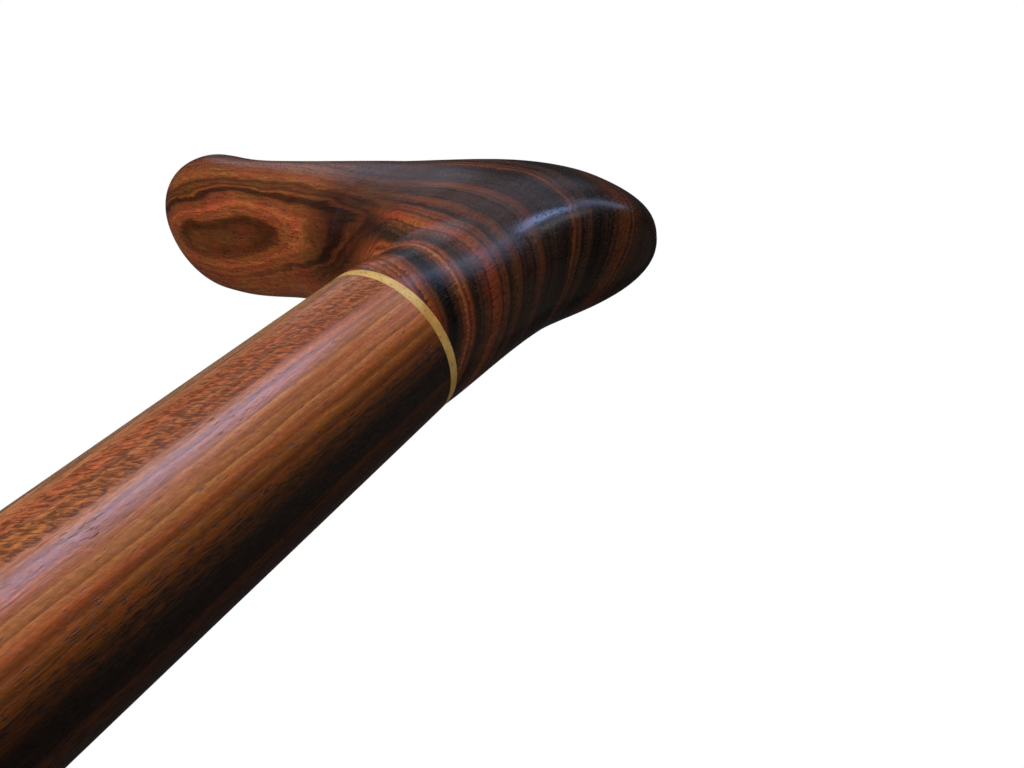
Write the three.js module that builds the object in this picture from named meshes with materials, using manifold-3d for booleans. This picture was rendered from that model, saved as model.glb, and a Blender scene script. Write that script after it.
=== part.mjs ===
// A wooden walking cane with a carved derby handle, in millimetres.
// The origin is the middle of the ferrule's tread, +Z runs up the shaft, +X points to the handle's nose.
import * as THREE from "three";
import { mergeVertices } from "three/addons/utils/BufferGeometryUtils.js";
import Module from "manifold-3d";

const wasm = await Module();
wasm.setup();

// Shaft
const shaftLength = 848;
const collarDiameter = 25; // shaft top, spacer and handle neck are flush here
const upperShaftDiameter = 22.5;
const upperTaperLength = 110; // the shaft thins quickly over this length below the collar
const tipDiameter = 18;
const tipChamfer = 1.2;

// Spacer and the glued joint
const spacerThickness = 1.6;
const glueLine = 0.1;
const studDiameter = 8;
const studInShaft = 42;
const studInHandle = 34;
const studChamfer = 1;
const studGlueGap = 0.15; // radial, filled with glue
const drillOverrun = 1; // how much deeper than the stud each hole is drilled
const drillPointAngle = 118;

// Handle in side view: reaches are from the shaft's axis, heights from the neck's flat end
const crestHeight = 58.4;
const noseReach = 25.5;
const noseDrop = 14; // each drop is measured down from the crest
const browReach = 15.1;
const browDrop = 4.2;
const neckSwell = 5; // how far the front of the neck leans past the collar
const neckSwellHeight = 24.9;
const backReach = 30;
const backDrop = 4.4;
const saddleReach = 60;
const saddleDrop = 13.2;
const humpReach = 78;
const humpDrop = 10.4;
const tailReach = 94;
const tailEndDrop = 23.7;
const tailRounding = 18; // the tail's end rounds off over this length

// Underside of the handle, with each rise measured up from the top of the throat
const neckStraight = 2.8;
const throatRadius = 15.6;
const palmUndersideReach = 52;
const palmUndersideRise = 4.2;
const bellyReach = 69;
const bellyRise = 3.6;
const tailUndersideRise = 6.8;

// Handle in plan, and the fullness of its sections, where 2 is an ellipse
const waistWidth = 21.6;
const noseWidth = 25.8;
const palmWidth = 27;
const tailWidth = 31.2;
const noseFullness = 2.38;
const tailFullness = 2.1;

// Stations of those widths: 0 at the collar, 1 over the throat, 2 at the tail's end
const waistStation = 0.335;
const noseStation = 0.59;
const tailStation = 1.67;

// Rubber ferrule
const treadThickness = 8;
const socketDepth = 30;
const socketGap = 0.2;
const sleeveWall = 3;
const baseDiameter = 36;
const baseEdgeRadius = 2.5;
const skirtHeight = 17;
const bandCount = 3;
const bandHeight = 2;
const bandSpacing = 5.5;
const bandProud = 0.8;
const lipRadius = 1.2;
const treadPadDiameter = 12;
const treadGrooveCount = 3;
const treadGrooveWidth = 1.8;
const treadGrooveDepth = 1.4;
const treadRibWidth = 1.8;

// Steel washer under the shaft's end
const washerThickness = 1.5;
const washerGap = 0.2; // to the socket's wall
const seatGap = 0.1; // under and over the washer

// Facets and tolerances
const turnedSteps = 56;
const ferruleSteps = 44;
const studSteps = 32;
const sectionSteps = 56;
const neckSteps = 30;
const tailSteps = 10;
const endSteps = 8;
const shaftSteps = 14;
const curveSteps = 6;
const halvings = 40;
const mergeGap = 1e-4; // vertices closer than this are one

// Derived sizes
const collarRadius = collarDiameter / 2;
const tipRadius = tipDiameter / 2;
const studRadius = studDiameter / 2;
const holeRadius = studRadius + studGlueGap;
const holePoint = holeRadius / Math.tan(THREE.MathUtils.degToRad(drillPointAngle / 2));
const socketRadius = tipRadius + socketGap;
const sleeveRadius = socketRadius + sleeveWall;
const washerBase = treadThickness + seatGap;
const shaftBase = washerBase + washerThickness + seatGap;
const ferruleHeight = shaftBase + socketDepth;
const spacerBase = shaftBase + shaftLength + glueLine;
const handleBase = spacerBase + spacerThickness + glueLine;
const studBase = shaftBase + shaftLength - studInShaft;
const studLength = handleBase + studInHandle - studBase;
const throatX = -collarRadius - throatRadius; // the centre of the throat's arc
const throatTop = neckStraight + throatRadius;

// Materials
const rosewood = new THREE.MeshStandardMaterial({ color: 0x6e3a22, roughness: 0.38, metalness: 0 });
const darkRosewood = new THREE.MeshStandardMaterial({ color: 0x57301f, roughness: 0.34, metalness: 0 });
const boxwood = new THREE.MeshStandardMaterial({ color: 0xd2b060, roughness: 0.45, metalness: 0 });
const blackRubber = new THREE.MeshStandardMaterial({ color: 0x1c1c1d, roughness: 0.85, metalness: 0 });
const zincSteel = new THREE.MeshStandardMaterial({ color: 0x9a9da1, roughness: 0.4, metalness: 1 });

// Turned piece from a profile of [radius, height] points, with its axis along +Z
function turned(profile, steps) {
  const outline = profile.map(([radius, height]) => new THREE.Vector2(radius, height));
  return new THREE.LatheGeometry(outline, steps).rotateX(Math.PI / 2);
}

function piece(name, geometry, material, height) {
  const mesh = new THREE.Mesh(geometry, material);
  mesh.name = name;
  mesh.position.z = height;
  return mesh;
}

// Solid for cutting, from a closed geometry
function toSolid(geometry) {
  const bare = geometry.clone();
  bare.deleteAttribute("normal");
  bare.deleteAttribute("uv");
  const merged = mergeVertices(bare, mergeGap);
  return new wasm.Manifold(
    new wasm.Mesh({
      numProp: 3,
      vertProperties: merged.attributes.position.array,
      triVerts: new Uint32Array(merged.index.array),
    }),
  );
}

function toGeometry(solid) {
  const mesh = solid.getMesh();
  return new THREE.BufferGeometry()
    .setAttribute("position", new THREE.BufferAttribute(mesh.vertProperties, 3))
    .setIndex(new THREE.BufferAttribute(mesh.triVerts, 1));
}

// Smooth curve through [x, y] stations, as a function of x
function smoothLaw(stations) {
  const last = stations.length - 1;
  const slopes = stations.map((station, i) => {
    const before = stations[Math.max(i - 1, 0)];
    const after = stations[Math.min(i + 1, last)];
    return (after[1] - before[1]) / (after[0] - before[0]);
  });
  return (x) => {
    const found = stations.findIndex((station) => station[0] >= x);
    const i = Math.min(Math.max(found, 1), last);
    const [x0, y0] = stations[i - 1];
    const [x1, y1] = stations[i];
    const span = x1 - x0;
    const s = THREE.MathUtils.clamp((x - x0) / span, 0, 1);
    const bend = (s - 1) * s * span * (slopes[i - 1] * (s - 1) + slopes[i] * s);
    return THREE.MathUtils.lerp(y0, y1, s * s * (3 - 2 * s)) + bend;
  };
}

// Side-view rail through [reach toward the nose, height] points
function rail(points) {
  const spots = points.map(([x, z]) => new THREE.Vector3(x, 0, z));
  return new THREE.CatmullRomCurve3(spots, false, "centripetal");
}

// Fraction of a rail's length at which it passes x on its way to the tail, by halving
function fractionAt(curve, x) {
  let low = 0;
  let high = 1;
  for (let i = 0; i < halvings; i++) {
    const middle = (low + high) / 2;
    if (curve.getPointAt(middle).x > x) low = middle;
    else high = middle;
  }
  return (low + high) / 2;
}

// Back rail: up the front of the neck, round the nose and over the crest to the tail
function makeBackRail() {
  return rail([
    [collarRadius, 0],
    [collarRadius + neckSwell, neckSwellHeight],
    [noseReach, crestHeight - noseDrop],
    [browReach, crestHeight - browDrop],
    [0, crestHeight],
    [-backReach, crestHeight - backDrop],
    [-saddleReach, crestHeight - saddleDrop],
    [-humpReach, crestHeight - humpDrop],
    [-tailReach - tailRounding, crestHeight - humpDrop],
  ]);
}

// Underside rail, from the throat to the tail. Its first point lies on the throat's arc and sets its start slope
function makeUndersideRail() {
  const lead = Math.PI / 3;
  return rail([
    [throatX + throatRadius * Math.cos(lead), neckStraight + throatRadius * Math.sin(lead)],
    [throatX, throatTop],
    [-palmUndersideReach, throatTop + palmUndersideRise],
    [-bellyReach, throatTop + bellyRise],
    [-tailReach, throatTop + tailUndersideRise],
    [-tailReach - tailRounding, throatTop + tailUndersideRise],
  ]);
}

const halfWidth = smoothLaw([
  [0, collarRadius],
  [waistStation, waistWidth / 2],
  [noseStation, noseWidth / 2],
  [1, palmWidth / 2],
  [tailStation, tailWidth / 2],
  [2, tailWidth / 2],
]);

const fullness = smoothLaw([
  [0, 2],
  [noseStation, noseFullness],
  [2, tailFullness],
]);

// Closed section between a point on the back rail and one on the underside, shrunk by scale toward the tail's end
function section(back, underside, station, scale) {
  const endHeight = crestHeight - tailEndDrop;
  const middle = back.clone().add(underside).multiplyScalar(0.5);
  middle.z = THREE.MathUtils.lerp(endHeight, middle.z, scale);
  const halfDepth = back.clone().sub(underside).multiplyScalar(0.5 * scale);
  const half = halfWidth(station) * scale;
  const power = 2 / fullness(station);
  const points = [];
  for (let i = 0; i < sectionSteps; i++) {
    const angle = (2 * Math.PI * i) / sectionSteps;
    const deep = Math.sign(Math.cos(angle)) * Math.abs(Math.cos(angle)) ** power;
    const wide = Math.sign(Math.sin(angle)) * Math.abs(Math.sin(angle)) ** power;
    const point = middle.clone().addScaledVector(halfDepth, deep);
    point.y = half * wide;
    points.push(point);
  }
  return points;
}

// Sections of the handle: they fan about the throat's centre from the neck to the palm, then stand upright to the tail
function handleSections() {
  const backRail = makeBackRail();
  const undersideRail = makeUndersideRail();
  const sections = [];
  const overThroat = fractionAt(backRail, throatX);
  for (let i = 0; i <= neckSteps; i++) {
    const back = backRail.getPointAt((overThroat * i) / neckSteps);
    const angle = Math.max(Math.atan2(back.z - neckStraight, back.x - throatX), 0);
    const underside = new THREE.Vector3(
      throatX + throatRadius * Math.cos(angle),
      0,
      angle > 0 ? neckStraight + throatRadius * Math.sin(angle) : back.z,
    );
    sections.push(section(back, underside, angle / (Math.PI / 2), 1));
  }
  const roundingStart = -tailReach + tailRounding;
  const upright = (x, scale) => {
    const back = backRail.getPointAt(fractionAt(backRail, x));
    const underside = undersideRail.getPointAt(fractionAt(undersideRail, x));
    const station = 1 + (throatX - x) / (throatX + tailReach);
    return section(back, underside, station, scale);
  };
  for (let i = 1; i <= tailSteps; i++) {
    sections.push(upright(THREE.MathUtils.lerp(throatX, roundingStart, i / tailSteps), 1));
  }
  for (let i = 1; i < endSteps; i++) {
    const angle = (Math.PI / 2) * (i / endSteps);
    sections.push(upright(roundingStart - tailRounding * Math.sin(angle), Math.cos(angle)));
  }
  return sections;
}

// Loft through closed sections, with a flat start cap and a point at the far end
function loft(sections, endPoint) {
  const startCentre = sections[0].reduce((sum, p) => sum.add(p), new THREE.Vector3());
  startCentre.divideScalar(sectionSteps);
  const vertices = [...sections.flat(), startCentre, endPoint];
  const startIndex = vertices.length - 2;
  const endIndex = vertices.length - 1;
  const lastRing = (sections.length - 1) * sectionSteps;
  const faces = [];
  for (let i = 0; i < sectionSteps; i++) {
    const next = (i + 1) % sectionSteps;
    faces.push(startIndex, next, i);
    faces.push(endIndex, lastRing + i, lastRing + next);
    for (let ring = 0; ring < lastRing; ring += sectionSteps) {
      const above = ring + sectionSteps;
      faces.push(ring + i, ring + next, above + next);
      faces.push(ring + i, above + next, above + i);
    }
  }
  const positions = vertices.flatMap((p) => [p.x, p.y, p.z]);
  return new THREE.BufferGeometry()
    .setAttribute("position", new THREE.Float32BufferAttribute(positions, 3))
    .setIndex(faces);
}

// Carved handle with the stud's blind hole drilled up its neck
function makeHandle() {
  const tailEnd = new THREE.Vector3(-tailReach, 0, crestHeight - tailEndDrop);
  const carved = toSolid(loft(handleSections(), tailEnd));
  const depth = studInHandle + drillOverrun;
  const drill = turned(
    [
      [0, -drillOverrun],
      [holeRadius, -drillOverrun],
      [holeRadius, depth],
      [0, depth + holePoint],
    ],
    studSteps,
  );
  return toGeometry(carved.subtract(toSolid(drill)));
}

// Tapered shaft: a straight tip for the ferrule, a long taper, and a blind hole for the stud in its top
function makeShaft() {
  const radiusAt = smoothLaw([
    [socketDepth, tipRadius],
    [shaftLength - upperTaperLength, upperShaftDiameter / 2],
    [shaftLength, collarRadius],
  ]);
  const holeDepth = studInShaft + drillOverrun;
  const profile = [
    [0, 0],
    [tipRadius - tipChamfer, 0],
    [tipRadius, tipChamfer],
  ];
  for (let i = 0; i <= shaftSteps; i++) {
    const height = THREE.MathUtils.lerp(socketDepth, shaftLength, i / shaftSteps);
    profile.push([radiusAt(height), height]);
  }
  profile.push(
    [holeRadius, shaftLength],
    [holeRadius, shaftLength - holeDepth],
    [0, shaftLength - holeDepth - holePoint],
  );
  return turned(profile, turnedSteps);
}

// Pale ring between shaft and handle, flush with both
function makeSpacer() {
  return turned(
    [
      [holeRadius, 0],
      [collarRadius, 0],
      [collarRadius, spacerThickness],
      [holeRadius, spacerThickness],
      [holeRadius, 0],
    ],
    turnedSteps,
  );
}

function makeStud() {
  return turned(
    [
      [0, 0],
      [studRadius - studChamfer, 0],
      [studRadius, studChamfer],
      [studRadius, studLength - studChamfer],
      [studRadius - studChamfer, studLength],
      [0, studLength],
    ],
    studSteps,
  );
}

function makeWasher() {
  const radius = socketRadius - washerGap;
  return turned(
    [
      [0, 0],
      [radius, 0],
      [radius, washerThickness],
      [0, washerThickness],
    ],
    studSteps,
  );
}

// Quarter-round from angle start to angle end about a centre, as profile points
function arc(centreRadius, centreHeight, radius, start, end) {
  const points = [];
  for (let i = 0; i <= curveSteps; i++) {
    const angle = THREE.MathUtils.lerp(start, end, i / curveSteps);
    points.push([centreRadius + radius * Math.cos(angle), centreHeight + radius * Math.sin(angle)]);
  }
  return points;
}

// Rubber ferrule: grooved tread, flared skirt, banded sleeve and the socket that grips the shaft's tip
function makeFerrule() {
  const baseRadius = baseDiameter / 2;
  const profile = [[0, 0]];
  for (let i = 0; i < treadGrooveCount; i++) {
    const inner = treadPadDiameter / 2 + i * (treadGrooveWidth + treadRibWidth);
    const outer = inner + treadGrooveWidth;
    profile.push([inner, 0], [inner, treadGrooveDepth], [outer, treadGrooveDepth], [outer, 0]);
  }
  profile.push(...arc(baseRadius - baseEdgeRadius, baseEdgeRadius, baseEdgeRadius, -Math.PI / 2, 0));
  for (let i = 1; i <= curveSteps; i++) {
    const s = i / curveSteps;
    const radius = THREE.MathUtils.lerp(sleeveRadius, baseRadius, (1 - s) ** 2);
    profile.push([radius, THREE.MathUtils.lerp(baseEdgeRadius, skirtHeight, s)]);
  }
  for (let i = 0; i < bandCount; i++) {
    const foot = skirtHeight + bandHeight + i * bandSpacing;
    const edge = bandProud / 2;
    profile.push([sleeveRadius, foot], [sleeveRadius + bandProud, foot + edge]);
    profile.push([sleeveRadius + bandProud, foot + bandHeight - edge], [sleeveRadius, foot + bandHeight]);
  }
  profile.push(...arc(sleeveRadius - lipRadius, ferruleHeight - lipRadius, lipRadius, 0, Math.PI / 2));
  profile.push([socketRadius, ferruleHeight], [socketRadius, treadThickness], [0, treadThickness]);
  return turned(profile, ferruleSteps);
}

const cane = new THREE.Group();
cane.add(
  piece("rubber_ferrule", makeFerrule(), blackRubber, 0),
  piece("ferrule_washer", makeWasher(), zincSteel, washerBase),
  piece("shaft", makeShaft(), rosewood, shaftBase),
  piece("joining_stud", makeStud(), zincSteel, studBase),
  piece("spacer_ring", makeSpacer(), boxwood, spacerBase),
  piece("handle", makeHandle(), darkRosewood, handleBase),
);

export default cane;
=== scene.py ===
import math
from functools import partial

import bmesh
import bpy
import numpy as np
from mathutils import Matrix, Vector


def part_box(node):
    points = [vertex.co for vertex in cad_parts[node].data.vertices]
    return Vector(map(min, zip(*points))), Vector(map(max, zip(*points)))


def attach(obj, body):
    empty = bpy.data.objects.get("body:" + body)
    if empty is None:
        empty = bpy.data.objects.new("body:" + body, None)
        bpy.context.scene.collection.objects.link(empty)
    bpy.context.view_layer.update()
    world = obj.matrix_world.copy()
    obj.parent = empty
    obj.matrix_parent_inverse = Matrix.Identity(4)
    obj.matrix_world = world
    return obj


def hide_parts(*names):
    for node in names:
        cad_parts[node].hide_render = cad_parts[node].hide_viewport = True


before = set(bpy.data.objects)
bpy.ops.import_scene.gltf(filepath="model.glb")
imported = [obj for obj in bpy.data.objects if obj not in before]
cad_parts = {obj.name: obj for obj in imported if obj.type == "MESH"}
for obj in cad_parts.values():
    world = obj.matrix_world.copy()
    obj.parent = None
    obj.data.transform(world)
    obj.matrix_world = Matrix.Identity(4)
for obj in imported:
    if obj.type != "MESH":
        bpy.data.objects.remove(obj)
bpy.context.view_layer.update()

mm = 0.001


# sRGB hex colour as linear RGBA
def linear(hexColour):
    channels = np.array([int(hexColour[i:i + 2], 16) for i in (1, 3, 5)]) / 255
    curve = np.where(channels <= 0.04045, channels / 12.92, ((channels + 0.055) / 1.055) ** 2.4)
    return (*curve.tolist(), 1.0)


# Camera: low under the nose, rolled so that the shaft leaves at the lower left
view = {
    "place": (0.0737, -0.0537, 0.7888),
    "forward": (-0.4993, 0.5412, 0.6766),
    "up": (-0.1667, -0.8264, 0.5379),
    "lens": 26.32,
    "sensor": 36.0,
    "nearest": 0.004,
}


def makeCamera():
    forward = Vector(view["forward"]).normalized()
    right = forward.cross(Vector(view["up"])).normalized()
    up = right.cross(forward)
    data = bpy.data.cameras.new("camera")
    data.lens = view["lens"]
    data.sensor_width = view["sensor"]
    data.sensor_fit = "HORIZONTAL"
    data.clip_start = view["nearest"]
    camera = bpy.data.objects.new("camera", data)
    turn = Matrix((right, up, -forward)).transposed().to_4x4()
    camera.matrix_world = Matrix.Translation(view["place"]) @ turn
    bpy.context.scene.collection.objects.link(camera)
    bpy.context.scene.camera = camera


makeCamera()
print("camera placed")


# Adds one node: stops fill its colour ramp, feeds go to its sockets by name or number,
# and the rest are its settings.
def addNode(tree, kind, feeds=None, stops=None, **settings):
    node = tree.nodes.new(kind)
    for name, value in settings.items():
        setattr(node, name, value)
    if stops:
        elements = node.color_ramp.elements
        for position, colour in stops[len(elements):]:
            elements.new(position)
        for element, (position, colour) in zip(elements, stops):
            element.position = position
            element.color = linear(colour)
    for key, value in (feeds or {}).items():
        if isinstance(value, bpy.types.NodeSocket):
            tree.links.new(value, node.inputs[key])
        else:
            node.inputs[key].default_value = value
    return node


# New material with its shader, and the function above bound to its tree
def newMaterial(name):
    material = bpy.data.materials.new(name)
    material.use_nodes = True
    tree = material.node_tree
    return material, tree.nodes["Principled BSDF"], partial(addNode, tree)


# Multiplies a place by a matrix: each row dotted with the place gives one axis
def byMatrix(add, place, rows):
    return add("ShaderNodeCombineXYZ", {
        axis: add("ShaderNodeVectorMath", {0: place, 1: row}, operation="DOT_PRODUCT").outputs["Value"]
        for axis, row in enumerate(rows)
    }).outputs[0]


# Ramp stops given in the pattern's own measure, as fractions of the ramp, which holds 32 at most
def spread(stops, low, high):
    return [((place - low) / (high - low), colour) for place, colour in stops]


# Smooth curve through [x, y] stations: Hermite spans whose slopes come from each station's neighbours
def smoothLaw(stations):
    xs, ys = np.array(stations, float).T
    last = len(xs) - 1
    before = np.maximum(np.arange(last + 1) - 1, 0)
    after = np.minimum(np.arange(last + 1) + 1, last)
    slopes = (ys[after] - ys[before]) / (xs[after] - xs[before])

    def law(x):
        i = np.clip(np.searchsorted(xs, x), 1, last)
        span = xs[i] - xs[i - 1]
        s = np.clip((x - xs[i - 1]) / span, 0, 1)
        bend = (s - 1) * s * span * (slopes[i - 1] * (s - 1) + slopes[i] * s)
        return ys[i - 1] + (ys[i] - ys[i - 1]) * s * s * (3 - 2 * s) + bend

    return law


# Solid piece from a grid of points in millimetres, each row closed on itself. Ring-shaped grids join
# their last row to the first; otherwise the end rows are points, and close as poles.
def gridPiece(name, grid, material, node, ringShaped=False, crease=35):
    rows, around = grid.shape[:2]
    index = np.arange(rows * around).reshape(rows, around)
    low = index if ringShaped else index[1:-2]
    high = np.roll(index, -1, 0) if ringShaped else index[2:-1]
    faces = np.stack([low, np.roll(low, -1, 1), np.roll(high, -1, 1), high], -1).reshape(-1, 4).tolist()
    if not ringShaped:
        first, second, third, last = index[0], index[1], index[-2], index[-1]
        faces += np.stack([np.full(around, first[0]), np.roll(second, -1), second], -1).tolist()
        faces += np.stack([np.full(around, last[0]), third, np.roll(third, -1)], -1).tolist()
    mesh = bpy.data.meshes.new(name)
    mesh.from_pydata((grid.reshape(-1, 3) * mm).tolist(), [], faces)
    work = bmesh.new()
    work.from_mesh(mesh)
    spare = [vertex for vertex in work.verts if not vertex.link_faces]
    bmesh.ops.delete(work, geom=spare, context="VERTS")
    if work.calc_volume(signed=True) < 0:
        bmesh.ops.reverse_faces(work, faces=work.faces)
    work.to_mesh(mesh)
    work.free()
    mesh.shade_smooth()
    mesh.set_sharp_from_angle(angle=math.radians(crease))
    mesh.materials.append(material)
    piece = bpy.data.objects.new(name, mesh)
    bpy.context.scene.collection.objects.link(piece)
    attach(piece, "root")
    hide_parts(node)
    print(name, len(mesh.polygons), "faces")


# Turned surface: the profile's [radius, height] points carried round the axis
def turned(profile, around):
    radius, height = np.array(profile, float).T
    angle = np.linspace(0, 2 * np.pi, around, endpoint=False)
    grid = np.empty((len(radius), around, 3))
    grid[..., 0] = radius[:, None] * np.cos(angle)
    grid[..., 1] = radius[:, None] * np.sin(angle)
    grid[..., 2] = height[:, None]
    return grid


# Points of a rounded corner in profile: centre plus radius times (cos, sin) of an angle
# that runs from start to end, in degrees.
def corner(centre, radius, start, end, steps):
    angle = np.radians(np.linspace(start, end, steps))
    return np.stack([centre[0] + radius * np.cos(angle), centre[1] + radius * np.sin(angle)], -1).tolist()


# Handle, in millimetres: heights are measured from the neck's flat end, reaches from the shaft's axis,
# +X to the nose. Width and fullness go with the station: 0 neck, 1 throat, 2 tail.
handle = {
    "base": 859.5,
    "collarRadius": 12.5,
    "glueLine": 0.1,
    "backRail": [
        (12.5, 0), (17.5, 24.9), (25.5, 44.4), (15.1, 54.2), (0, 58.4),
        (-30, 54.0), (-60, 45.2), (-78, 48.0), (-112, 48.0),
    ],
    "underRail": [(-28.1, 18.4), (-52, 22.6), (-69, 22.0), (-94, 25.2), (-112, 25.2)],
    "throatX": -28.1,
    "throatHeight": 2.8,
    "throatRadius": 15.6,
    "throatLead": 60,  # degrees on the throat's circle where the under rail starts
    "halfWidth": [(0, 12.5), (0.335, 10.8), (0.59, 12.9), (1, 13.5), (1.67, 15.6), (2, 15.6)],
    "fullness": [(0, 2), (0.59, 2.38), (2, 2.1)],
    "tail": -94,
    "rounding": 18,
    "endHeight": 34.7,
    "boreRadius": 4.15,
    "boreDepth": 35,
    "borePoint": 2.49,
    "railSteps": 160,  # points on each span of a rail
    "around": 176,
    "neckRows": 150,
    "tailRows": 70,
    "endRows": 34,
}


# Rail through points: centripetal Catmull-Rom. Each span is a cubic whose end slopes come from
# the chords' lengths to the power 0.5.
def rail(points):
    spots = np.array(points, float)
    spots = np.vstack([2 * spots[0] - spots[1], spots, 2 * spots[-1] - spots[-2]])
    t = np.linspace(0, 1, handle["railSteps"], endpoint=False)[:, None]
    spans = []
    for p0, p1, p2, p3 in zip(spots[:-3], spots[1:-2], spots[2:-1], spots[3:]):
        d0, d1, d2 = [np.linalg.norm(b - a) ** 0.5 for a, b in ((p0, p1), (p1, p2), (p2, p3))]
        m1 = ((p1 - p0) / d0 - (p2 - p0) / (d0 + d1) + (p2 - p1) / d1) * d1
        m2 = ((p2 - p1) / d1 - (p3 - p1) / (d1 + d2) + (p3 - p2) / d2) * d1
        square = 3 * (p2 - p1) - 2 * m1 - m2
        cube = 2 * (p1 - p2) + m1 + m2
        spans.append(p1 + m1 * t + square * t ** 2 + cube * t ** 3)
    return np.vstack(spans + [spots[-2:-1]])


# Closed sections between back and under points, as wide and as full as the two laws say: depth goes
# with cos and width with sin of the angle, each to the power 2 / fullness, signs kept.
def sections(back, under, station, scale):
    h = handle
    angle = np.linspace(0, 2 * np.pi, h["around"], endpoint=False)
    power = (2 / smoothLaw(h["fullness"])(station))[:, None]
    deep = np.sign(np.cos(angle)) * np.abs(np.cos(angle)) ** power
    wide = np.sign(np.sin(angle)) * np.abs(np.sin(angle)) ** power
    middle = (back + under) / 2
    middle[:, 1] = h["endHeight"] + (middle[:, 1] - h["endHeight"]) * scale
    half = (back - under) / 2 * scale[:, None]
    grid = np.empty((len(back), h["around"], 3))
    grid[..., 0] = middle[:, :1] + half[:, :1] * deep
    grid[..., 1] = (smoothLaw(h["halfWidth"])(station) * scale)[:, None] * wide
    grid[..., 2] = middle[:, 1:] + half[:, 1:] * deep
    return grid


# The sections fan about the throat's centre from the neck to the palm, then stand upright,
# and shrink with the cosine of the bow angle as they round off at the tail.
def handleGrid():
    h = handle
    backRail = rail(h["backRail"])
    lead = math.radians(h["throatLead"])
    start = (
        h["throatX"] + h["throatRadius"] * math.cos(lead),
        h["throatHeight"] + h["throatRadius"] * math.sin(lead),
    )
    underRail = rail([start] + h["underRail"])
    length = np.r_[0, np.cumsum(np.linalg.norm(np.diff(backRail, axis=0), axis=1))]
    tailward = np.arange(len(backRail)) > np.argmax(backRail[:, 0])
    overThroat = np.interp(-h["throatX"], -backRail[tailward, 0], length[tailward])
    along = np.linspace(0, overThroat, h["neckRows"])
    back = np.stack([
        np.interp(along, length, backRail[:, 0]),
        np.interp(along, length, backRail[:, 1]),
    ], -1)
    angle = np.maximum(np.arctan2(back[:, 1] - h["throatHeight"], back[:, 0] - h["throatX"]), 0)
    arcHeight = h["throatHeight"] + h["throatRadius"] * np.sin(angle)
    under = np.stack([
        h["throatX"] + h["throatRadius"] * np.cos(angle),
        np.where(angle > 0, arcHeight, back[:, 1]),
    ], -1)
    neck = sections(back, under, angle / (np.pi / 2), np.ones(len(back)))

    roundingStart = h["tail"] + h["rounding"]
    bow = np.linspace(0, np.pi / 2, h["endRows"])[1:]
    upright = np.linspace(h["throatX"], roundingStart, h["tailRows"])[1:]
    x = np.r_[upright, roundingStart - h["rounding"] * np.sin(bow)]
    scale = np.r_[np.ones(h["tailRows"] - 1), np.cos(bow)]
    back = np.stack([x, np.interp(-x, -backRail[tailward, 0], backRail[tailward, 1])], -1)
    under = np.stack([x, np.interp(-x, -underRail[:, 0], underRail[:, 1])], -1)
    tail = sections(back, under, 1 + (h["throatX"] - x) / (h["throatX"] - h["tail"]), scale)

    # The blind hole and the flat end, which reaches down through the glue line
    base = -h["glueLine"]
    r = h["boreRadius"]
    ends = [(0, h["boreDepth"] + h["borePoint"]), (r, h["boreDepth"])]
    ends += [(r, base), (h["collarRadius"], base)]
    bore = turned(ends, h["around"])
    grid = np.concatenate([bore, neck, tail])
    grid[..., 2] += h["base"]
    low, high = [np.array(side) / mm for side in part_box("handle")]
    low[2] += base
    return np.clip(grid, low, high)


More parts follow.
